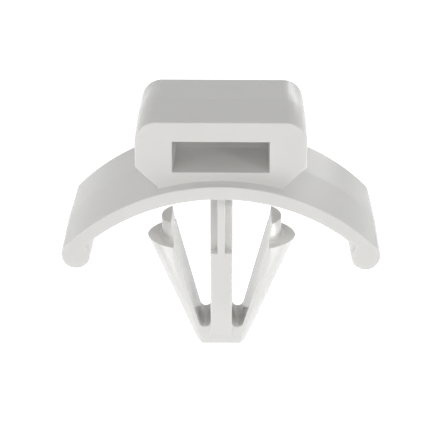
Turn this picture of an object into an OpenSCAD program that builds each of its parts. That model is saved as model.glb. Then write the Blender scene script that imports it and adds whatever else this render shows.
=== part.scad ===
// Winged cable tie mount, moulded in one piece. A pair of arched wings presses on the
// panel, a head on the crown of the arch holds the slot for the tie, and a split
// anchor below it snaps into a round hole in the panel.
//
// X runs from wing tip to wing tip, Y along the tie slot and Z up from the panel. The
// origin is on the anchor's axis, level with the underside of the beads. The mould
// parts in the plane Y = 0, and every wall that runs along Y leans by the draft angle:
// outer walls close in away from that plane, and openings widen. Widths and heights
// are those in the parting plane.

/* [Wings] */
// Width over the beads along the two feet
wing_span = 18; // [17:0.1:20]
// Outer radius of the arch
arch_radius = 12.29; // [11.6:0.05:13.2]
// Thickness of the arch
wing_wall = 0.91; // [0.75:0.01:1.1]
// Depth of the wings along the tie slot
wing_depth = 8.83; // [8:0.05:10]
// Radius of the bead along each foot
bead_radius = 0.88; // [0.7:0.01:1]

/* [Head] */
// Depth of the head along the tie slot
head_depth = 7.08; // [6.4:0.02:8]
// Wall between the tie slot and each side of the head
head_side_wall = 2.16; // [1.9:0.01:2.5]
// Wall above the tie slot
head_roof = 1.25; // [1:0.01:1.6]
// Radius of the head's upper corners
head_corner = 1.27; // [0.8:0.01:1.6]
// Width of the head's foot, where its undercut sides meet the arch
head_foot_w = 7.11; // [6.7:0.01:7.6]
// Slope of the undercut sides
undercut_angle = 45; // [40:1:50]
// Radius of the fillet where the head's front and back meet the arch
foot_fillet = 0.2; // [0.1:0.01:0.35]

/* [Tie slot] */
// Width of the tie slot
slot_w = 5.25; // [4.9:0.01:5.6]
// Height of the tie slot
slot_h = 1.69; // [1.4:0.01:1.9]
// Material between the tie slot and the crown of the arch
slot_floor = 0.47; // [0.4:0.01:0.7]

/* [Stem] */
// Width of the stem
stem_w = 1.3; // [1.1:0.01:1.5]
// Depth of the stem
stem_depth = 3.74; // [3.5:0.01:4]
// Width of the rib between the two recesses on the front, and on the back
rib_w = 0.5; // [0.35:0.01:0.65]
// Depth of the recesses beside the rib
recess_depth = 0.6; // [0.3:0.01:0.9]
// Height of the recesses' lower end
recess_end = -0.2; // [-1:0.01:0.5]

/* [Tip] */
// How far the anchor reaches below the beads
anchor_reach = 6.57; // [6.2:0.01:6.9]
// Height where the stem's front and back start to bend towards the tip
bend_start = -3.05; // [-3.4:0.01:-2.6]
// Radius of that bend
bend_radius = 6; // [5:0.1:7]
// Slope of the tip's front and back, past the bend
tip_slope = 15; // [12:0.5:17]

/* [Legs] */
// Width over the barbs at the top of the legs
barb_span = 8.71; // [8.5:0.01:9]
// Height of the barbs' top face
barb_top = 0.21; // [0:0.01:0.4]
// Slope of the legs' outer walls
leg_slope = 22.4; // [21.5:0.1:23]
// Radius of the legs' outer walls
leg_round = 2.385; // [2.3:0.005:2.5]
// How far the axis of each half of that wall lies past the parting plane
leg_ridge = 0.196; // [0.1:0.002:0.26]
// Slope of the legs' inner walls
leg_inner_slope = 15.3; // [14.8:0.1:15.8]
// Distance between the legs at the barbs' top face
leg_gap = 5.46; // [5.3:0.01:5.6]
// Radius at the bottom of the gaps between stem and legs
gap_radius = 0.325; // [0.28:0.005:0.36]
// Depth of the legs at the bottom of those gaps
leg_root_depth = 2.76; // [2.6:0.01:2.9]
// Slope of the flats on the legs' front and back
leg_flat_slope = 6.5; // [5.5:0.1:7.5]

/* [Necks] */
// Width over the two necks
neck_span = 7; // [6.8:0.01:7.2]
// Height of the necks' top face
neck_top = 1.43; // [1.1:0.01:1.8]
// Radius of the necks' outer walls
neck_round = 1.65; // [1.5:0.01:1.8]
// Radius of the fillet round each neck's foot
neck_fillet = 0.22; // [0.1:0.01:0.3]
// Height where the legs' inner walls turn steeper
neck_turn = 0.1; // [-0.4:0.05:0.6]
// Slope of the inner walls above that height
neck_inner_slope = 8.3; // [5:0.1:11]

/* [Mould] */
// Draft angle of the walls along Y
draft_angle = 0.9; // [0.5:0.05:1.2]

/* [Hidden] */
$fn = 96;
nylon = [0.86, 0.86, 0.85];
// Longer and wider than any part of the mount
beyond = 40;

draft = tan(draft_angle);
// The outer side of each bead touches the arch's outer skin
bead_x = wing_span / 2 - bead_radius;
bead_arm = arch_radius - bead_radius;
arch_turn = asin(bead_x / bead_arm);
arch_z = bead_radius - bead_arm * cos(arch_turn);
crown_z = arch_z + arch_radius;
root_radius = arch_radius - wing_wall / 2;

slot_z = crown_z + slot_floor + slot_h / 2;
head_top = crown_z + slot_floor + slot_h + head_roof;
head_side_x = slot_w / 2 + head_side_wall;
foot_x = head_foot_w / 2;
foot_z = arch_z + sqrt(pow(arch_radius, 2) - pow(foot_x, 2));

// Where the bend passes into the slope of the tip, and the tip's lower edge
bend_end_y = stem_depth / 2 - bend_radius * (1 - cos(tip_slope));
bend_end_z = bend_start - bend_radius * sin(tip_slope);
tip_y = bend_end_y - (bend_end_z + anchor_reach) * tan(tip_slope);

leg_axis_x = barb_span / 2 - sqrt(pow(leg_round, 2) - pow(leg_ridge, 2)) / cos(leg_slope);
neck_axis_x = neck_span / 2 - neck_round;
// The bottom of each gap touches both the stem's side and the leg's inner wall
gap_x = stem_w / 2 + gap_radius;
gap_wall_x = gap_x + gap_radius / cos(leg_inner_slope);
gap_z = barb_top - (leg_gap / 2 - gap_wall_x) / tan(leg_inner_slope);
neck_turn_x = leg_gap / 2 + (neck_turn - barb_top) * tan(leg_inner_slope);

// Stands a shape drawn in X and Z upright, as thick as depth, across the parting plane
module upright(depth) {
    rotate([90, 0, 0])
        linear_extrude(height = depth, center = true)
            children();
}

// Stretches a shape drawn in Y and Z along X
module crosswise(width) {
    rotate([90, 0, 90])
        linear_extrude(height = width, center = true)
            children();
}

// All that lies behind a drafted wall. In the parting plane the wall passes through
// (x, z), and it faces the direction at facing degrees from +X towards +Z.
module behind_wall(x, z, facing, depth) {
    slant_body(x, z, facing, depth, -draft * depth / 2);
}

// All of an opening that lies behind one of its drafted walls
module opening_to_wall(x, z, facing, depth) {
    slant_body(x, z, facing, depth, draft * depth / 2);
}

// A body as thick as depth, whose end face shifts by the given run away from the
// parting plane
module slant_body(x, z, facing, depth, run) {
    translate([x, 0, z])
        rotate([0, -facing, 0])
            linear_extrude(height = beyond, center = true)
                polygon([
                    [-beyond / 2, -depth / 2], [run, -depth / 2], [0, 0],
                    [run, depth / 2], [-beyond / 2, depth / 2]
                ]);
}

// A rod along Y, whose radius grows by the given run towards both ends
module rod(x, z, radius, depth, run) {
    for (turn = [-90, 90])
        translate([x, 0, z])
            rotate([turn, 0, 0])
                cylinder(h = depth / 2, r1 = radius, r2 = radius + run);
}

// A band about the arch's axis, turned from a section drawn in radius and Y
module band(half_turn) {
    translate([0, 0, arch_z])
        rotate([90, 0, 0])
            rotate([0, 0, 90 - half_turn])
                rotate_extrude(angle = 2 * half_turn)
                    children();
}

module wings() {
    shift = draft * wing_depth / 2;
    inner_radius = arch_radius - wing_wall;
    band(arch_turn)
        polygon([
            [inner_radius, 0], [inner_radius + shift, -wing_depth / 2],
            [arch_radius - shift, -wing_depth / 2], [arch_radius, 0],
            [arch_radius - shift, wing_depth / 2], [inner_radius + shift, wing_depth / 2]
        ]);
    for (side = [-1, 1])
        rod(side * bead_x, bead_radius, bead_radius, wing_depth, -shift);
}

module head_outline() {
    corner_x = head_side_x - head_corner;
    corner_z = head_top - head_corner;
    // The middle, which reaches the top face
    intersection() {
        upright(head_depth)
            translate([-corner_x, 0])
                square([2 * corner_x, beyond / 2]);
        behind_wall(0, head_top, 90, head_depth);
    }
    // The whole width, up to the corners
    intersection() {
        upright(head_depth)
            translate([-beyond / 2, 0])
                square([beyond, corner_z]);
        behind_wall(head_side_x, 0, 0, head_depth);
        behind_wall(-head_side_x, 0, 180, head_depth);
    }
    for (side = [-1, 1])
        rod(side * corner_x, corner_z, head_corner, head_depth, -draft * head_depth / 2);
}

// Fillets on the arch along the head's front and back
module foot_fillets() {
    face_y = head_depth / 2;
    skin = arch_radius - draft * face_y;
    band(arch_turn / 2)
        for (side = [-1, 1])
            scale([1, side])
                difference() {
                    translate([root_radius, face_y - foot_fillet])
                        square([skin + foot_fillet - root_radius, 2 * foot_fillet]);
                    translate([skin + foot_fillet, face_y + foot_fillet])
                        circle(r = foot_fillet);
                }
}

module head() {
    difference() {
        intersection() {
            union() {
                head_outline();
                foot_fillets();
            }
            behind_wall(foot_x, foot_z, -undercut_angle, wing_depth);
            behind_wall(-foot_x, foot_z, 180 + undercut_angle, wing_depth);
        }
        // The head is rooted in the middle of the arch's wall
        rotate([90, 0, 0])
            translate([0, arch_z, 0])
                cylinder(h = wing_depth, r = root_radius, center = true);
        tie_slot();
    }
}

module tie_slot() {
    intersection() {
        opening_to_wall(slot_w / 2, slot_z, 0, wing_depth);
        opening_to_wall(-slot_w / 2, slot_z, 180, wing_depth);
        opening_to_wall(0, slot_z + slot_h / 2, 90, wing_depth);
        opening_to_wall(0, slot_z - slot_h / 2, -90, wing_depth);
    }
}

// The tip from the side, up to the given height, with its slopes continued upwards
module tip_side(height) {
    top_y = tip_y + (height + anchor_reach) * tan(tip_slope);
    polygon([[-tip_y, -anchor_reach], [tip_y, -anchor_reach], [top_y, height], [-top_y, height]]);
}

// The stem from the side: upright, then bending into the slopes of the tip
module stem_side() {
    translate([-stem_depth / 2, bend_start])
        square([stem_depth, crown_z - wing_wall / 2 - bend_start]);
    intersection() {
        for (side = [-1, 1])
            translate([side * (bend_radius - stem_depth / 2), bend_start])
                circle(r = bend_radius);
        translate([-stem_depth / 2, bend_end_z])
            square([stem_depth, bend_start - bend_end_z]);
    }
    tip_side(bend_end_z);
}

// The recess on one side of the ribs, through the stem from front to back
module recess() {
    floor_y = stem_depth / 2 - recess_depth;
    difference() {
        intersection() {
            opening_to_wall(rib_w / 2, 0, 180, wing_depth);
            opening_to_wall(0, recess_end, -90, wing_depth);
        }
        crosswise(beyond)
            translate([-floor_y, -anchor_reach])
                square([2 * floor_y, beyond / 2]);
    }
}

module stem() {
    difference() {
        intersection() {
            crosswise(2 * stem_w)
                stem_side();
            behind_wall(stem_w / 2, 0, 0, wing_depth);
            behind_wall(-stem_w / 2, 0, 180, wing_depth);
        }
        recess();
        mirror([1, 0, 0])
            recess();
    }
}

// A leg from the side: the slopes of the tip, then flatter slopes up to the barb
module leg_side() {
    floor_z = gap_z - gap_radius;
    bottom_y = leg_root_depth / 2 - (floor_z + anchor_reach) * tan(leg_flat_slope);
    top_y = leg_root_depth / 2 + (barb_top - floor_z) * tan(leg_flat_slope);
    intersection() {
        tip_side(barb_top);
        polygon([
            [-bottom_y, -anchor_reach], [bottom_y, -anchor_reach],
            [top_y, barb_top], [-top_y, barb_top]
        ]);
    }
}

// The leg on the +X side before its gap is cut, with the tip's half below it
module leg_body() {
    intersection() {
        translate([leg_axis_x, leg_ridge, barb_top])
            rotate([0, leg_slope, 0])
                cylinder(h = beyond, r = leg_round, center = true);
        translate([leg_axis_x, -leg_ridge, barb_top])
            rotate([0, leg_slope, 0])
                cylinder(h = beyond, r = leg_round, center = true);
        translate([barb_span / 2 - stem_w / 2, 0, 0])
            crosswise(barb_span)
                leg_side();
    }
}

// A round post, with a fillet on the barb's top face round its foot
module neck() {
    translate([neck_axis_x, 0, 0])
        cylinder(h = neck_top, r = neck_round);
    translate([neck_axis_x, 0, barb_top])
        rotate_extrude()
            difference() {
                translate([0, -neck_fillet])
                    square([neck_round + neck_fillet, 2 * neck_fillet]);
                translate([neck_round + neck_fillet, neck_fillet])
                    circle(r = neck_fillet);
            }
}

// The gap between the stem and a leg, open at the top, with a round bottom
module gap() {
    rod(gap_x, gap_z, gap_radius, wing_depth, draft * wing_depth / 2);
    intersection() {
        upright(wing_depth)
            polygon([
                [-beyond / 2, gap_z], [gap_x, gap_z],
                [gap_x + beyond * cos(leg_inner_slope), gap_z - beyond * sin(leg_inner_slope)],
                [beyond, beyond / 2], [-beyond / 2, beyond / 2]
            ]);
        opening_to_wall(leg_gap / 2, barb_top, -leg_inner_slope, wing_depth);
        opening_to_wall(neck_turn_x, neck_turn, -neck_inner_slope, wing_depth);
    }
}

module leg() {
    difference() {
        union() {
            leg_body();
            neck();
        }
        gap();
    }
}

module tie_mount() {
    color(nylon) {
        wings();
        head();
        stem();
        leg();
        mirror([1, 0, 0])
            leg();
    }
}

tie_mount();
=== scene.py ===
"""The look of a winged cable tie mount, moulded in one piece: the moulding with its rounded
edges, its natural nylon, and a plain studio round it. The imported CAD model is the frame."""

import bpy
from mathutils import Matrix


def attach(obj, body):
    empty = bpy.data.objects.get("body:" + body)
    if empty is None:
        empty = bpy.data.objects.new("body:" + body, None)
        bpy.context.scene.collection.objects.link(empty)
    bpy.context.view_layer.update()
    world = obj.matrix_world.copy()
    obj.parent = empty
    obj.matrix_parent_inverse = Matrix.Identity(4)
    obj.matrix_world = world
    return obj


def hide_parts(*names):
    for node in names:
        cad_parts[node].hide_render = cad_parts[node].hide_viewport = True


bl_info = {
    "name": "Winged cable tie mount",
    "version": (1, 0, 0),
    "blender": (4, 5, 0),
    "location": "3D View > Sidebar > Tie Mount",
    "description": "Models a one-piece winged cable tie mount and the studio it is shown in",
    "category": "Object",
}

from math import acos, asin, atan2, cos, pi, radians, sin, sqrt, tan

import bmesh
import bpy
from mathutils import Matrix, Vector

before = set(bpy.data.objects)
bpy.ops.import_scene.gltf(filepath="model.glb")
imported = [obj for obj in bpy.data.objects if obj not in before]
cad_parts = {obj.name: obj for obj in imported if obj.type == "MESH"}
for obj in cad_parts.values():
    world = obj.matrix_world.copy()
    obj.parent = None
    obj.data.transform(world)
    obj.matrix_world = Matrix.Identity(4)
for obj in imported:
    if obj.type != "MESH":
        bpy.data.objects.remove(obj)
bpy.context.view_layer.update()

# The moulding is drawn in millimetres and brought to metres when it is whole
MM = 0.001
MILLIWATT = 0.001
# Coordinates closer than this are one place, in millimetres
SAME = 1e-4
# A vertex closer than this to a cutting plane lies on it, in millimetres
ON_CUT = SAME / 10
# Longer than any part of the moulding, in millimetres
BEYOND = 30.0
# Edges that turn outwards by more than this are rounded
ROUNDED_TURN = radians(40)
# Edges that turn by less than this are shaded smooth
SMOOTH_TURN = radians(35)
# Faces across a rounded edge
RIM_STEPS = 3
# Edges round each neck, round the legs and along the foot fillets
NECK_EDGES, LEG_EDGES, FILLET_EDGES = 120, 180, 54
# How far the foot fillets run to each side of the crown, before they are cut to the head
FILLET_SWEEP = radians(20)
# The Weighted Normal weight, of 1 to 100, at which large faces lead the shading the most
LARGE_FACES_LEAD = 100
ACROSS = Vector((1, 0, 0))
ALONG = Vector((0, 1, 0))
UP = Vector((0, 0, 1))


def length(name, value, description):
    """A size of the moulding in millimetres."""
    return bpy.props.FloatProperty(
        name=name, description=description + ", in mm", default=value,
        min=0.01, max=200, precision=3,
    )


def level(name, value, description):
    """A height above the panel in millimetres."""
    return bpy.props.FloatProperty(
        name=name, description=description + ", in mm above the panel", default=value,
        min=-20, max=20, precision=3,
    )


def slope(name, degrees, description):
    """An angle, given in degrees."""
    return bpy.props.FloatProperty(
        name=name, description=description, default=radians(degrees), min=0, max=pi / 2,
        subtype="ANGLE", precision=2,
    )


def share(name, value, description):
    """A part of one."""
    return bpy.props.FloatProperty(
        name=name, description=description, default=value, min=0, max=1, subtype="FACTOR",
        precision=3,
    )


def amount(name, value, description):
    """A plain number from nothing upwards."""
    return bpy.props.FloatProperty(
        name=name, description=description, default=value, min=0, precision=4
    )


class WingSizes(bpy.types.PropertyGroup):
    """The arch and its beads, and the draft of the whole moulding."""

    span: length("Span", 18.0, "Width over the beads")
    radius: length("Arch radius", 12.29, "Outer radius of the arch")
    wall: length("Wall", 0.91, "Thickness of the arch")
    depth: length("Depth", 8.83, "Depth along the tie slot")
    bead: length("Bead radius", 0.88, "Radius of the bead along each foot")
    draft: slope("Draft", 0.9, "Lean of the walls away from the parting plane")
    rim: length("Rim", 0.07, "Rounding of the rims")


class HeadSizes(bpy.types.PropertyGroup):
    """The head and its tie slot."""

    depth: length("Depth", 7.08, "Depth along the tie slot")
    side_wall: length("Side wall", 2.16, "Wall beside the tie slot")
    roof: length("Roof", 1.25, "Wall above the tie slot")
    corner: length("Corner radius", 1.27, "Radius of the upper corners")
    foot: length("Foot width", 7.11, "Width where the undercut sides meet the arch")
    undercut: slope("Undercut", 45, "Slope of the undercut sides")
    fillet: length("Foot fillet", 0.1, "Fillet where the front meets the arch")
    slot_width: length("Slot width", 5.25, "Width of the tie slot")
    slot_height: length("Slot height", 1.69, "Height of the tie slot")
    slot_floor: length("Slot floor", 0.47, "Material between the slot and the arch's crown")
    rim: length("Rim", 0.06, "Rounding of the edges")


class AnchorSizes(bpy.types.PropertyGroup):
    """The stem, the legs, their barbs and their necks."""

    stem_width: length("Stem width", 1.3, "Width of the stem")
    stem_depth: length("Stem depth", 3.74, "Depth of the stem")
    rib: length("Rib width", 0.5, "Width of the rib between the recesses")
    recess: length("Recess depth", 0.6, "Depth of the recesses beside the rib")
    recess_end: level("Recess end", -0.2, "Lower end of the recesses")
    reach: length("Reach", 6.57, "How far the anchor reaches below the panel's face")
    bend_start: level("Bend start", -3.05, "Where the stem's front starts to bend inwards")
    bend_radius: length("Bend radius", 6.0, "Radius of that bend")
    tip_slope: slope("Tip slope", 15, "Slope of the tip's front past the bend")
    barb_span: length("Barb span", 8.71, "Width over the barbs")
    barb_top: level("Barb top", 0.21, "Height of the barbs' top face")
    leg_slope: slope("Leg slope", 22.4, "Slope of the legs' outer walls")
    leg_round: length("Leg radius", 2.385, "Radius of the legs' outer walls")
    leg_ridge: length("Leg ridge", 0.196, "How far past the middle each half of it is centred")
    inner_slope: slope("Inner slope", 15.3, "Slope of the legs' inner walls")
    gap: length("Gap", 5.46, "Distance between the legs at the barbs' top")
    gap_radius: length("Gap radius", 0.325, "Radius at the bottom of the gaps")
    root_depth: length("Root depth", 2.76, "Depth of the legs at the bottom of the gaps")
    flat_slope: slope("Flat slope", 6.5, "Slope of the flats on the legs' front")
    neck_span: length("Neck span", 7.0, "Width over the necks")
    neck_top: level("Neck top", 1.43, "Height of the necks' top face")
    neck_round: length("Neck radius", 1.65, "Radius of the necks")
    neck_fillet: length("Neck fillet", 0.22, "Fillet round each neck's foot")
    neck_turn: level("Neck turn", 0.1, "Where the legs' inner walls turn steeper")
    neck_slope: slope("Neck slope", 8.3, "Slope of the inner walls above that")
    rim: length("Rim", 0.04, "Rounding of the edges")


class NylonLook(bpy.types.PropertyGroup):
    """The colour and the skin of the nylon."""

    colour: bpy.props.FloatVectorProperty(
        name="Colour", description="Colour of the natural nylon", default=(0.72, 0.715, 0.70),
        size=3, min=0, max=1, subtype="COLOR",
    )
    cloud: share("Cloudiness", 0.03, "How much the milky nylon's brightness varies")
    depth: amount("Light depth", 0.5, "How far light strays inside the nylon, in mm")
    stray: share("Stray light", 0.25, "Share of the light that strays inside the nylon")
    roughness: share("Roughness", 0.24, "Roughness of the moulded skin")
    flow: share("Flow marks", 0.05, "How much that roughness varies")
    wave: amount("Waviness", 0.004, "Height of the skin's slow waves, in mm")
    grain: amount("Grain", 0.0006, "Height of the skin's fine grain, in mm")
    edge: amount("Edge", 0.04, "Radius at which creases and sharp edges are shaded, in mm")
    seam: amount("Seam", 0.004, "Height of the parting line's fine ridge, in mm")
    seam_width: amount("Seam width", 0.05, "Width of that ridge, in mm")


class StudioSetup(bpy.types.PropertyGroup):
    """The camera, the floor and the light."""

    stand: bpy.props.FloatVectorProperty(
        name="Camera", description="Where the camera stands, in mm",
        default=(0.995, -77.385, 36.967), size=3, subtype="XYZ",
    )
    elevation: slope("Elevation", 24.949, "How steeply the camera looks down")
    yaw: slope("Yaw", 0.741, "How far the camera is turned to its left")
    focal: amount("Focal length", 118.3, "Focal length on a 36 mm wide frame, in mm")
    drop: length("Drop", 60.0, "How far the floor lies below the tip")
    lamp_distance: length("Lamp distance", 100.0, "From the object to each lamp")
    lamp_power: amount("Lamp power", 50.0, "Power of a lamp whose share is 1, in mW")
    ambient: amount("Ambient", 0.365, "Strength of the light from all round")
    ground: amount("Ground", 0.92, "What the lit floor adds for the camera, to be white")


# Edit mode


def only(piece):
    """Selects one piece alone and makes it the active one."""
    bpy.ops.object.select_all(action="DESELECT")
    piece.select_set(True)
    bpy.context.view_layer.objects.active = piece


def edit(piece):
    """Opens a piece in edit mode with all of it selected."""
    only(piece)
    bpy.ops.object.mode_set(mode="EDIT")
    bpy.ops.mesh.select_all(action="SELECT")


def leave():
    """Goes back to object mode."""
    bpy.ops.object.mode_set(mode="OBJECT")


def pick(piece, kind, test):
    """In edit mode, selects only the vertices, edges or faces that pass the test."""
    bpy.ops.mesh.select_mode(type=kind)
    bpy.ops.mesh.select_all(action="DESELECT")
    mesh = bmesh.from_edit_mesh(piece.data)
    mesh.normal_update()
    found = {"VERT": mesh.verts, "EDGE": mesh.edges, "FACE": mesh.faces}[kind]
    chosen = [part for part in found if test(part)]
    for part in chosen:
        part.select = True
    mesh.select_flush_mode()
    bmesh.update_edit_mesh(piece.data)
    return len(chosen)


def outer(edge):
    """Whether the surface turns sharply outwards at an edge."""
    return edge.is_manifold and edge.calc_face_angle_signed() > ROUNDED_TURN


def trim(point, normal, fill=True):
    """Cuts away all that lies past a plane, and closes the cut unless it is to stay open."""
    bpy.ops.mesh.select_all(action="SELECT")
    bpy.ops.mesh.bisect(
        plane_co=point, plane_no=normal, use_fill=fill, clear_outer=True, threshold=ON_CUT
    )


def finish_with(piece, kind, **settings):
    """Adds a modifier to a piece and applies it."""
    only(piece)
    bpy.ops.object.modifier_add(type=kind)
    modifier = piece.modifiers[-1]
    for name, value in settings.items():
        setattr(modifier, name, value)
    bpy.ops.object.modifier_apply(modifier=modifier.name)


def mirror(piece, across=False, along=False):
    """Completes a piece that is open at its middle."""
    finish_with(
        piece, "MIRROR", use_axis=(across, along, False), merge_threshold=SAME, use_clip=True
    )


def combine(piece, other, operation):
    """Adds another body to a piece or cuts it out of it."""
    finish_with(piece, "BOOLEAN", operation=operation, solver="EXACT", object=other)
    bpy.data.objects.remove(other)


class Pen:
    """Draws an outline in a plane across one axis, from vertex to vertex."""

    def __init__(self, name, start, axis=ALONG):
        bpy.ops.object.select_all(action="DESELECT")
        bpy.ops.mesh.primitive_plane_add(size=1)
        self.piece = bpy.context.object
        self.piece.name = name
        self.axis = axis
        self.at = self.place(start)
        bpy.ops.object.mode_set(mode="EDIT")
        bpy.ops.mesh.select_mode(type="VERT")
        bpy.ops.mesh.merge(type="CENTER")
        bpy.ops.transform.translate(value=self.at)

    def place(self, point):
        """A point of the drawing, (across or along, up), in space."""
        side, height = point
        return Vector((0, side, height)) if self.axis == ACROSS else Vector((side, 0, height))

    def line(self, *point):
        """A straight edge to a point."""
        to = self.place(point)
        bpy.ops.mesh.extrude_region_move(TRANSFORM_OT_translate={"value": to - self.at})
        self.at = to

    def arc(self, centre, turn, step=3.0):
        """An arc about a centre, with an edge every few degrees. Seen from the front, a
        positive turn is clockwise."""
        centre = self.place(centre)
        edges = max(2, round(abs(turn) / radians(step)))
        # Blender's spin counts its angle the other way round
        bpy.ops.mesh.spin(steps=edges, angle=-turn, center=centre, axis=self.axis)
        self.at = centre + Matrix.Rotation(turn, 3, self.axis) @ (self.at - centre)

    def close(self):
        """Joins the last vertex to the first and fills the outline with one face."""
        bpy.ops.mesh.select_all(action="SELECT")
        bpy.ops.mesh.remove_doubles(threshold=SAME)
        bpy.ops.mesh.edge_face_add()
        return self.piece


def drawn_normal(piece):
    """Which way the drawn face points."""
    mesh = bmesh.from_edit_mesh(piece.data)
    mesh.faces.ensure_lookup_table()
    mesh.normal_update()
    return mesh.faces[0].normal


def some_vertex(piece):
    """Where the piece's first vertex is, in edit mode."""
    mesh = bmesh.from_edit_mesh(piece.data)
    mesh.verts.ensure_lookup_table()
    return mesh.verts[0].co


def drafted(piece, depth, draft, rim):
    """Makes a drawn face a body across the parting plane. Its walls close in away from that
    plane by the draft, and its rims are rounded."""
    if drawn_normal(piece).y > 0:
        bpy.ops.mesh.flip_normals()
    bpy.ops.mesh.inset(thickness=depth / 2 * tan(draft), depth=depth / 2)
    bpy.ops.mesh.region_to_loop()
    bpy.ops.mesh.bevel(offset=rim, segments=RIM_STEPS, clamp_overlap=False, loop_slide=False)
    leave()
    mirror(piece, along=True)
    return piece


def soften(piece, radius, where=outer):
    """In edit mode, rounds the edges that pass the test."""
    pick(piece, "EDGE", where)
    bpy.ops.mesh.bevel(offset=radius, segments=RIM_STEPS, clamp_overlap=False, loop_slide=False)


# The moulding


class Layout:
    """Places that follow from the driving sizes, in millimetres."""

    def __init__(self, wings, head, anchor):
        self.bead_x = wings.span / 2 - wings.bead
        bead_arm = wings.radius - wings.bead
        self.arch_turn = asin(self.bead_x / bead_arm)
        self.arch_z = wings.bead - bead_arm * cos(self.arch_turn)
        self.crown_z = self.arch_z + wings.radius
        self.slot_z = self.crown_z + head.slot_floor + head.slot_height / 2
        self.head_top = self.slot_z + head.slot_height / 2 + head.roof
        self.head_x = head.slot_width / 2 + head.side_wall
        self.foot_x = head.foot / 2
        self.foot_z = self.arch_z + sqrt(wings.radius**2 - self.foot_x**2)
        # The tip's front, which the stem's bend passes into
        bend_y = anchor.stem_depth / 2 - anchor.bend_radius * (1 - cos(anchor.tip_slope))
        bend_z = anchor.bend_start - anchor.bend_radius * sin(anchor.tip_slope)
        self.tip_y = bend_y - (bend_z + anchor.reach) * tan(anchor.tip_slope)
        # The gap between the stem and a leg
        self.gap_x = anchor.stem_width / 2 + anchor.gap_radius
        wall_x = self.gap_x + anchor.gap_radius / cos(anchor.inner_slope)
        self.gap_z = anchor.barb_top - (anchor.gap / 2 - wall_x) / tan(anchor.inner_slope)
        # The flats on the legs' front, and where they meet the tip's slope
        floor_z = self.gap_z - anchor.gap_radius
        self.flat_y = anchor.root_depth / 2 - (floor_z + anchor.reach) * tan(anchor.flat_slope)
        rise = (self.flat_y - self.tip_y) / (tan(anchor.tip_slope) - tan(anchor.flat_slope))
        self.ledge_z = rise - anchor.reach
        self.leg_x = anchor.barb_span / 2 - sqrt(
            anchor.leg_round**2 - anchor.leg_ridge**2
        ) / cos(anchor.leg_slope)
        self.neck_x = anchor.neck_span / 2 - anchor.neck_round


def make_wings(wings, place):
    """The arch with a bead along each foot."""
    inner = wings.radius - wings.wall
    bead_arm = wings.radius - wings.bead
    # Where the arch's inner skin meets a bead, as an angle about the arch's axis
    opening = acos((inner**2 + bead_arm**2 - wings.bead**2) / (2 * inner * bead_arm))
    inner_turn = place.arch_turn - opening
    crease = Vector((inner * sin(inner_turn), place.arch_z + inner * cos(inner_turn)))
    away = crease - Vector((place.bead_x, wings.bead))
    bead_turn = (atan2(away.x, away.y) - place.arch_turn) % (2 * pi)
    arch = (0, place.arch_z)
    left_x = -wings.radius * sin(place.arch_turn)
    # Degrees to an edge of the arch
    fine = 0.75
    pen = Pen("wings", (left_x, place.arch_z + wings.radius * cos(place.arch_turn)))
    pen.arc(arch, 2 * place.arch_turn, step=fine)
    pen.arc((place.bead_x, wings.bead), bead_turn)
    pen.arc(arch, -2 * inner_turn, step=fine)
    pen.arc((-place.bead_x, wings.bead), bead_turn)
    return drafted(pen.close(), wings.depth, wings.draft, wings.rim)


def make_head(wings, head, place):
    """The head with its undercut sides, rounded upper corners and tie slot."""
    lean = Vector((sin(head.undercut), cos(head.undercut)))
    out = (place.head_x - place.foot_x) / lean.x
    # How far the head's root reaches into the arch
    sunk = 0.3
    foot = Vector((place.foot_x, place.foot_z))
    root, side = foot - sunk * lean, foot + out * lean
    corner_x, corner_z = place.head_x - head.corner, place.head_top - head.corner
    pen = Pen("head", (-root.x, root.y))
    pen.line(-side.x, side.y)
    pen.line(-place.head_x, corner_z)
    pen.arc((-corner_x, corner_z), pi / 2)
    pen.line(corner_x, place.head_top)
    pen.arc((corner_x, corner_z), pi / 2)
    pen.line(*side)
    pen.line(*root)
    piece = pen.close()
    # The corners where the undercut starts are rounded in the drawing
    pick(piece, "VERT", lambda v: abs(abs(v.co.x) - side.x) < SAME and abs(v.co.z - side.y) < SAME)
    bpy.ops.mesh.bevel(affect="VERTICES", offset=head.rim, segments=RIM_STEPS)
    bpy.ops.mesh.select_mode(type="FACE")
    bpy.ops.mesh.select_all(action="SELECT")
    drafted(piece, head.depth, wings.draft, head.rim)
    combine(piece, make_slot(wings, head, place), "DIFFERENCE")
    edit(piece)
    soften(piece, head.rim)
    leave()
    return piece


def make_slot(wings, head, place):
    """The opening for the tie, which widens away from the parting plane."""
    flare = wings.depth * tan(wings.draft)
    mouth = (head.slot_width + flare, wings.depth, head.slot_height + flare)
    bpy.ops.object.select_all(action="DESELECT")
    bpy.ops.mesh.primitive_cube_add(size=1, location=(0, 0, place.slot_z), scale=mouth)
    piece = bpy.context.object
    bpy.ops.object.transform_apply()
    edit(piece)
    bpy.ops.mesh.bisect(plane_co=(0, 0, 0), plane_no=ALONG, threshold=ON_CUT)
    pick(piece, "VERT", lambda v: abs(v.co.y) < SAME)
    narrow = (head.slot_width / mouth[0], 1, head.slot_height / mouth[2])
    bpy.ops.transform.resize(value=narrow, center_override=(0, 0, place.slot_z))
    leave()
    return piece


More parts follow.
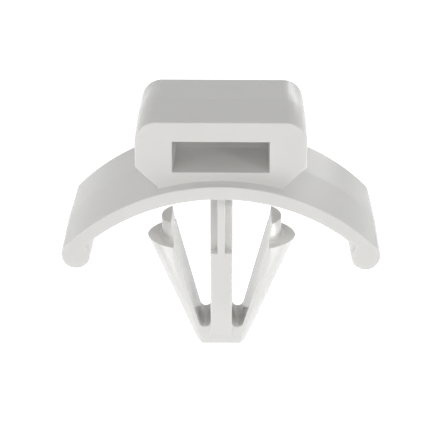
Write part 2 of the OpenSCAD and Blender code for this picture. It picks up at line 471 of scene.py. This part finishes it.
def make_foot_fillets(wings, head, place):
    """Fillets on the arch along the head's front and back."""
    skin = wings.radius - head.depth / 2 * tan(wings.draft) + place.arch_z
    face, fillet = -head.depth / 2, head.fillet
    # The arc stops a little short of both faces, so that they cross and don't touch
    short = radians(4)
    pen = Pen("foot_fillets", (face + fillet, skin - fillet), axis=ACROSS)
    pen.line(face + fillet, skin + fillet * (1 - sin(short)))
    pen.line(face - fillet * (1 - cos(short)), skin + fillet * (1 - sin(short)))
    pen.arc((face - fillet, skin + fillet), -(pi / 2 - 2 * short), step=10)
    pen.line(pen.at.y, skin - fillet)
    piece = pen.close()
    middle = (0, 0, place.arch_z)
    bpy.ops.transform.rotate(value=FILLET_SWEEP, orient_axis="Y", center_override=middle)
    # Spin counts its angle anticlockwise, and goes back over the middle
    back = 2 * FILLET_SWEEP if some_vertex(piece).x > 0 else -2 * FILLET_SWEEP
    bpy.ops.mesh.spin(steps=FILLET_EDGES, angle=back, center=middle, axis=ALONG)
    bpy.ops.mesh.select_all(action="SELECT")
    bpy.ops.mesh.normals_make_consistent(inside=False)
    # The fillets end just inside the undercut sides
    for side in (-1, 1):
        foot = Vector((side * (place.foot_x - head.rim), 0, place.foot_z))
        trim(foot, (side * cos(head.undercut), 0, -sin(head.undercut)))
    leave()
    mirror(piece, along=True)
    return piece


def make_stem(wings, anchor, place):
    """The stem, from the arch down to the ledge where the legs spring from the tip."""
    front, draft = -anchor.stem_depth / 2, tan(wings.draft)
    top = place.crown_z - wings.wall / 2
    # The stem ends a hair above the ledge, so that no two bodies share a face
    hair = 0.005
    end_z = place.ledge_z + hair
    end_y = -(place.tip_y + (end_z + anchor.reach) * tan(anchor.tip_slope))
    pen = Pen("stem", (0, top), axis=ACROSS)
    pen.line(front, top)
    pen.line(front, anchor.bend_start)
    pen.arc((front + anchor.bend_radius, anchor.bend_start), anchor.tip_slope, step=1)
    pen.line(end_y, end_z)
    pen.line(0, end_z)
    piece = pen.close()
    # A quarter of the stem, cut to its drafted width
    bpy.ops.mesh.extrude_region_move(TRANSFORM_OT_translate={"value": (anchor.stem_width, 0, 0)})
    bpy.ops.mesh.select_all(action="SELECT")
    bpy.ops.mesh.normals_make_consistent(inside=False)
    trim((anchor.stem_width / 2, 0, 0), (1, -draft, 0))
    leave()
    combine(piece, make_recess(anchor, draft), "DIFFERENCE")
    edit(piece)
    # Its inner faces go, and the mirror adds the other quarters
    pick(piece, "FACE", lambda f: all(abs(v.co.x) < SAME for v in f.verts)
         or all(abs(v.co.y) < SAME for v in f.verts))
    bpy.ops.mesh.delete(type="FACE")
    leave()
    mirror(piece, across=True, along=True)
    edit(piece)
    soften(piece, anchor.rim)
    leave()
    return piece


def make_recess(anchor, draft):
    """The recess on one side of the rib, in front, as a block to cut out."""
    bpy.ops.object.select_all(action="DESELECT")
    bpy.ops.mesh.primitive_cube_add(size=BEYOND)
    piece = bpy.context.object
    edit(piece)
    trim((0, anchor.recess - anchor.stem_depth / 2, 0), ALONG)
    trim((anchor.rib / 2, 0, 0), (-1, draft, 0))
    trim((0, 0, anchor.recess_end), (0, draft, -1))
    leave()
    return piece


def make_neck(anchor, place):
    """A round post with a fillet round its foot, for the right leg."""
    top, foot, fillet = anchor.neck_top, anchor.barb_top, anchor.neck_fillet
    # How far the post reaches into the leg
    sunk = 0.5
    # The fillet stops a little short of the barb's top face, so that they cross
    short = radians(8)
    low = foot + fillet * (1 - cos(short))
    wide = anchor.neck_round + fillet * (1 - sin(short))
    pen = Pen("neck", (0, foot - sunk))
    pen.line(wide, foot - sunk)
    pen.line(wide, low)
    pen.arc((anchor.neck_round + fillet, foot + fillet), pi / 2 - short, step=9)
    pen.line(anchor.neck_round, top - anchor.rim)
    pen.arc((anchor.neck_round - anchor.rim, top - anchor.rim), -pi / 2, step=30)
    pen.line(0, top)
    bpy.ops.mesh.select_all(action="SELECT")
    bpy.ops.mesh.spin(steps=NECK_EDGES, angle=2 * pi, center=(0, 0, 0), axis=UP)
    bpy.ops.mesh.select_all(action="SELECT")
    bpy.ops.mesh.remove_doubles(threshold=SAME)
    bpy.ops.mesh.normals_make_consistent(inside=False)
    bpy.ops.transform.translate(value=(place.neck_x, 0, 0))
    leave()
    return pen.piece


def make_gap(wings, anchor, place):
    """All of the opening between the stem and the right leg, drawn at its widest."""
    half = wings.depth / 2
    flare = half * tan(wings.draft)
    radius = anchor.gap_radius + flare
    tilt, steep = anchor.inner_slope, anchor.neck_slope
    # The walls' own lines, flared: each leans out from a point at the height of its foot
    wall_x = anchor.gap / 2 + flare / cos(tilt)
    turn_x = anchor.gap / 2 + (anchor.neck_turn - anchor.barb_top) * tan(tilt) + flare / cos(steep)
    bend = (turn_x - wall_x + anchor.barb_top * tan(tilt) - anchor.neck_turn * tan(steep)) / (
        tan(tilt) - tan(steep)
    )
    bend_x = wall_x + (bend - anchor.barb_top) * tan(tilt)
    top = place.crown_z
    pen = Pen("gap", (-BEYOND / 2, place.gap_z))
    pen.line(place.gap_x - radius, place.gap_z)
    pen.arc((place.gap_x, place.gap_z), -(pi - tilt), step=5)
    pen.line(bend_x, bend)
    pen.line(bend_x + (top - bend) * tan(steep), top)
    pen.line(-BEYOND / 2, top)
    piece = pen.close()
    bpy.ops.transform.translate(value=(0, -half, 0))
    if drawn_normal(piece).y < 0:
        bpy.ops.mesh.flip_normals()
    bpy.ops.mesh.inset(thickness=flare, depth=half)
    bpy.ops.mesh.delete(type="ONLY_FACE")
    leave()
    mirror(piece, along=True)
    edit(piece)
    bpy.ops.mesh.fill_holes(sides=0)
    bpy.ops.mesh.select_all(action="SELECT")
    bpy.ops.mesh.normals_make_consistent(inside=False)
    leave()
    return piece


def make_legs(wings, anchor, place):
    """The two legs with their barbs and necks, and the tip that joins them."""
    bpy.ops.object.select_all(action="DESELECT")
    bpy.ops.mesh.primitive_cylinder_add(
        vertices=LEG_EDGES, radius=anchor.leg_round, depth=BEYOND,
        location=(place.leg_x, anchor.leg_ridge, anchor.barb_top),
        rotation=(0, anchor.leg_slope, 0),
    )
    piece = bpy.context.object
    piece.name = "legs"
    bpy.ops.object.transform_apply()
    edit(piece)
    # The front half of the right leg: level at the barb and at the tip, sloped in front, and
    # closed by the stem's far side
    bottom = Vector((0, 0, -anchor.reach))
    trim((0, 0, anchor.barb_top), UP)
    trim(bottom, -UP)
    for y, lean in ((place.tip_y, anchor.tip_slope), (place.flat_y, anchor.flat_slope)):
        trim(bottom - y * ALONG, (0, -cos(lean), -sin(lean)))
    trim((-anchor.stem_width / 2, 0, 0), -ACROSS)
    trim((0, 0, 0), ALONG, fill=False)
    soften(piece, anchor.rim, lambda edge: outer(edge) and (
        all(abs(v.co.z - anchor.barb_top) < SAME for v in edge.verts)
        or all(abs(v.co.z + anchor.reach) < SAME for v in edge.verts)
    ))
    leave()
    mirror(piece, along=True)
    combine(piece, make_neck(anchor, place), "UNION")
    combine(piece, make_gap(wings, anchor, place), "DIFFERENCE")
    # Cut open at its middle, it is half of the anchor
    edit(piece)
    trim((0, 0, 0), -ACROSS, fill=False)
    leave()
    mirror(piece, across=True)
    return piece


class TIE_MOUNT_OT_moulding(bpy.types.Operator):
    """Models the moulding in place of the plain CAD solid"""

    bl_idname = "tie_mount.moulding"
    bl_label = "Moulding"

    def execute(self, context):
        scene = context.scene
        wings, head, anchor = scene.tie_mount_wings, scene.tie_mount_head, scene.tie_mount_anchor
        place = Layout(wings, head, anchor)
        piece = make_wings(wings, place)
        for other in (
            make_head(wings, head, place),
            make_foot_fillets(wings, head, place),
            make_stem(wings, anchor, place),
            make_legs(wings, anchor, place),
        ):
            combine(piece, other, "UNION")
        piece.name = piece.data.name = "tie_mount_moulding"
        edit(piece)
        bpy.ops.mesh.dissolve_degenerate(threshold=SAME)
        # The draft turns over at the parting plane, where the shading breaks
        pick(piece, "EDGE", lambda edge: all(abs(v.co.y) < SAME for v in edge.verts))
        bpy.ops.mesh.mark_sharp()
        leave()
        piece.scale = (MM, MM, MM)
        bpy.ops.object.transform_apply()
        bpy.ops.object.shade_smooth_by_angle(angle=SMOOTH_TURN)
        finish_with(piece, "WEIGHTED_NORMAL", keep_sharp=True, weight=LARGE_FACES_LEAD)
        piece.data.materials.clear()
        piece.data.materials.append(natural_nylon(scene.tie_mount_nylon))
        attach(piece, "root")
        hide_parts("tie_mount")
        return {"FINISHED"}


# Materials


# Each pattern of the nylon: how often it repeats in a millimetre, and its finer layers
CLOUDS = (0.35, 2.0)
FLOW_MARKS = (0.9, 3.0)
WAVES = (0.55, 2.0)
GRAIN = (14.0, 3.0)
NYLON_IOR = 1.53
# How far red, green and blue light stray in the nylon, against each other
STRAY_BY_COLOUR = (1.0, 0.9, 0.75)
# Rays that look for an edge near a shaded point
EDGE_RAYS = 6
FLOOR_COLOUR = (0.8, 0.8, 0.8, 1)
# The rays that show a background: the camera's, and those that gloss or glass sends
BACKGROUND_RAYS = ("Camera", "Glossy", "Transmission")


class Wire:
    """The output of a node. Sums, differences and products of wires add Math nodes."""

    def __init__(self, tree, socket=None):
        self.tree, self.socket = tree, socket

    def node(self, kind, settings, sockets, output=0):
        """Adds a node with its settings, and gives its sockets their values or links."""
        added = self.tree.nodes.new(kind)
        for name, value in settings.items():
            setattr(added, name, value)
        for name, value in sockets.items():
            if isinstance(value, Wire):
                self.tree.links.new(value.socket, added.inputs[name])
            else:
                added.inputs[name].default_value = value
        return Wire(self.tree, added.outputs[output] if len(added.outputs) else None)

    def math(self, operation, first, second):
        """Adds a Math node to two values or wires."""
        return self.node("ShaderNodeMath", {"operation": operation}, {0: first, 1: second})

    def __add__(self, other):
        return self.math("ADD", self, other)

    def __sub__(self, other):
        return self.math("SUBTRACT", self, other)

    def __rsub__(self, other):
        return self.math("SUBTRACT", other, self)

    def __mul__(self, other):
        return self.math("MULTIPLY", self, other)

    __radd__ = __add__
    __rmul__ = __mul__


def new_material(name):
    """An empty material, and the wire its nodes are added from."""
    material = bpy.data.materials.new(name)
    material.use_nodes = True
    material.node_tree.nodes.clear()
    return material, Wire(material.node_tree)


def natural_nylon(look):
    """Milky natural nylon with a satin moulded skin and a fine ridge on the parting line."""
    material, wire = new_material("natural_nylon")
    spot = wire.node("ShaderNodeTexCoord", {}, {}, "Object")
    spot = wire.node("ShaderNodeMapping", {}, {"Vector": spot, "Scale": (1 / MM, 1 / MM, 1 / MM)})

    def noise(scale, detail):
        """A soft pattern between nothing and one, about a half."""
        sockets = {"Vector": spot, "Scale": scale, "Detail": detail, "Roughness": 0.5}
        return wire.node("ShaderNodeTexNoise", {}, sockets, "Fac")

    clouds, flow, wave, grain = (
        noise(*pattern) for pattern in (CLOUDS, FLOW_MARKS, WAVES, GRAIN)
    )
    bright = 1 + (clouds - 0.5) * (2 * look.cloud)
    colour = wire.node(
        "ShaderNodeVectorMath", {"operation": "SCALE"}, {0: look.colour[:], "Scale": bright}
    )
    along = wire.node("ShaderNodeSeparateXYZ", {}, {"Vector": spot}, "Y")
    off_seam = wire.node("ShaderNodeMath", {"operation": "ABSOLUTE"}, {0: along})
    ridge = wire.node(
        "ShaderNodeMapRange", {"interpolation_type": "SMOOTHSTEP"},
        {
            "Value": off_seam, "From Min": 0.0, "From Max": look.seam_width / 2,
            "To Min": 1.0, "To Max": 0.0,
        },
    )
    height = wave * look.wave + grain * look.grain + ridge * look.seam
    rounded = wire.node("ShaderNodeBevel", {"samples": EDGE_RAYS}, {"Radius": look.edge * MM})
    bump = wire.node(
        "ShaderNodeBump", {}, {"Height": height, "Strength": 1.0, "Distance": MM, "Normal": rounded}
    )
    shade = wire.node(
        "ShaderNodeBsdfPrincipled", {"subsurface_method": "RANDOM_WALK"},
        {
            "Base Color": colour, "Normal": bump,
            "Roughness": look.roughness + (flow - 0.5) * (2 * look.flow),
            "IOR": NYLON_IOR, "Subsurface Weight": look.stray,
            "Subsurface Scale": look.depth * MM, "Subsurface Radius": STRAY_BY_COLOUR,
        },
    )
    wire.node("ShaderNodeOutputMaterial", {}, {"Surface": shade})
    return material


def seen(wire):
    """One for the rays that show a background, and nothing for all others."""
    path = wire.node("ShaderNodeLightPath", {}, {})
    rays = [Wire(wire.tree, path.socket.node.outputs[f"Is {kind} Ray"]) for kind in BACKGROUND_RAYS]
    return wire.math("MINIMUM", rays[0] + rays[1] + rays[2], 1.0)


def white_floor(studio):
    """A pale matt floor that the camera sees as white, with the object's soft shadow on it."""
    material, wire = new_material("white_floor")
    matt = wire.node("ShaderNodeBsdfDiffuse", {}, {"Color": FLOOR_COLOUR})
    glow = wire.node("ShaderNodeEmission", {}, {"Strength": seen(wire) * studio.ground})
    both = wire.node("ShaderNodeAddShader", {}, {0: matt, 1: glow})
    wire.node("ShaderNodeOutputMaterial", {}, {"Surface": both})
    return material


# The studio


# In millimetres
SENSOR_WIDTH = 36
# The nearest and the farthest that the camera sees, and the floor's side, all in metres
NEAREST, FARTHEST = 0.01, 10
FLOOR_SIDE = 4
# Each lamp's name, its direction in degrees, 0 in front and 90 on the right, its height in
# degrees, its width and height in mm, its share of the light, and whether gloss shows it. The
# first two would glare on the head's top when it is seen from behind
LAMPS = (
    ("front_lamp", -17, 30, 90, 30, 0.38, False),
    ("right_lamp", 40, 18, 16, 16, 0.50, False),
    ("left_lamp", -70, 0, 40, 40, 0.55, True),
    ("side_lamp", 90, -20, 30, 30, 0.45, True),
    ("left_floor_lamp", -60, -40, 80, 60, 0.98, True),
    ("right_floor_lamp", 60, -40, 60, 50, 0.65, True),
    ("back_lamp", 163, 9, 26, 22, 0.041, True),
)


def add_camera(studio):
    """The camera, at the photograph's viewing angle."""
    bpy.ops.object.camera_add(
        location=Vector(studio.stand) * MM, rotation=(pi / 2 - studio.elevation, 0, studio.yaw)
    )
    camera = bpy.context.object
    camera.name = "camera"
    camera.data.sensor_width = SENSOR_WIDTH
    camera.data.lens = studio.focal
    camera.data.clip_start = NEAREST
    camera.data.clip_end = FARTHEST
    bpy.context.scene.camera = camera


def add_floor(studio, reach):
    """The floor, well below the tip of an anchor that reaches so far down."""
    below = -(reach + studio.drop) * MM
    bpy.ops.mesh.primitive_plane_add(size=FLOOR_SIDE, location=(0, 0, below))
    floor = bpy.context.object
    floor.name = "floor"
    floor.data.materials.append(white_floor(studio))


def add_lamp(studio, name, azimuth, elevation, width, height, share_of_light, in_gloss):
    """A soft oblong lamp that faces the object, and that the camera doesn't see."""
    azimuth, elevation = radians(azimuth), radians(elevation)
    away = Vector((cos(elevation) * sin(azimuth), -cos(elevation) * cos(azimuth), sin(elevation)))
    bpy.ops.object.light_add(
        type="AREA", location=away * studio.lamp_distance * MM,
        rotation=away.to_track_quat("Z", "Y").to_euler(),
    )
    lamp = bpy.context.object
    lamp.name = name
    lamp.data.energy = studio.lamp_power * MILLIWATT * share_of_light
    lamp.data.shape = "RECTANGLE"
    lamp.data.size = width * MM
    lamp.data.size_y = height * MM
    lamp.visible_camera = False
    lamp.visible_glossy = in_gloss


def add_world(studio):
    """An even pale surrounding, which the camera sees as white."""
    world = bpy.data.worlds.new("surrounding")
    world.use_nodes = True
    world.node_tree.nodes.clear()
    wire = Wire(world.node_tree)
    strength = studio.ambient + seen(wire) * (1 - studio.ambient)
    glow = wire.node("ShaderNodeBackground", {}, {"Color": (1, 1, 1, 1), "Strength": strength})
    wire.node("ShaderNodeOutputWorld", {}, {"Surface": glow})
    bpy.context.scene.world = world


class TIE_MOUNT_OT_studio(bpy.types.Operator):
    """Sets up the camera, the floor and the lamps"""

    bl_idname = "tie_mount.studio"
    bl_label = "Studio"

    def execute(self, context):
        scene = context.scene
        studio = scene.tie_mount_studio
        bpy.ops.object.select_all(action="DESELECT")
        add_camera(studio)
        add_floor(studio, scene.tie_mount_anchor.reach)
        for lamp in LAMPS:
            add_lamp(studio, *lamp)
        add_world(studio)
        scene.view_settings.view_transform = "Standard"
        return {"FINISHED"}


class TIE_MOUNT_PT_panel(bpy.types.Panel):
    """The moulding, its nylon and the studio"""

    bl_idname = "TIE_MOUNT_PT_panel"
    bl_label = "Tie Mount"
    bl_space_type = "VIEW_3D"
    bl_region_type = "UI"
    bl_category = "Tie Mount"

    def draw(self, context):
        for title, groups, operator in (
            ("Moulding", MOULDING_GROUPS, TIE_MOUNT_OT_moulding),
            ("Studio", STUDIO_GROUPS, TIE_MOUNT_OT_studio),
        ):
            box = self.layout.box()
            box.label(text=title)
            for name, group in groups.items():
                for prop in group.__annotations__:
                    box.prop(getattr(context.scene, name), prop)
            box.operator(operator.bl_idname)


MOULDING_GROUPS = {
    "tie_mount_wings": WingSizes, "tie_mount_head": HeadSizes, "tie_mount_anchor": AnchorSizes,
    "tie_mount_nylon": NylonLook,
}
STUDIO_GROUPS = {"tie_mount_studio": StudioSetup}
CLASSES = (
    *MOULDING_GROUPS.values(), *STUDIO_GROUPS.values(),
    TIE_MOUNT_OT_moulding, TIE_MOUNT_OT_studio, TIE_MOUNT_PT_panel,
)


def register():
    """Adds the classes and their properties to Blender."""
    for cls in CLASSES:
        bpy.utils.register_class(cls)
    for name, group in (MOULDING_GROUPS | STUDIO_GROUPS).items():
        setattr(bpy.types.Scene, name, bpy.props.PointerProperty(type=group))


def unregister():
    """Takes them out again."""
    for name in MOULDING_GROUPS | STUDIO_GROUPS:
        delattr(bpy.types.Scene, name)
    for cls in reversed(CLASSES):
        bpy.utils.unregister_class(cls)


def main():
    """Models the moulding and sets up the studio."""
    register()
    bpy.ops.tie_mount.moulding()
    bpy.ops.tie_mount.studio()


if __name__ == "__main__":
    main()
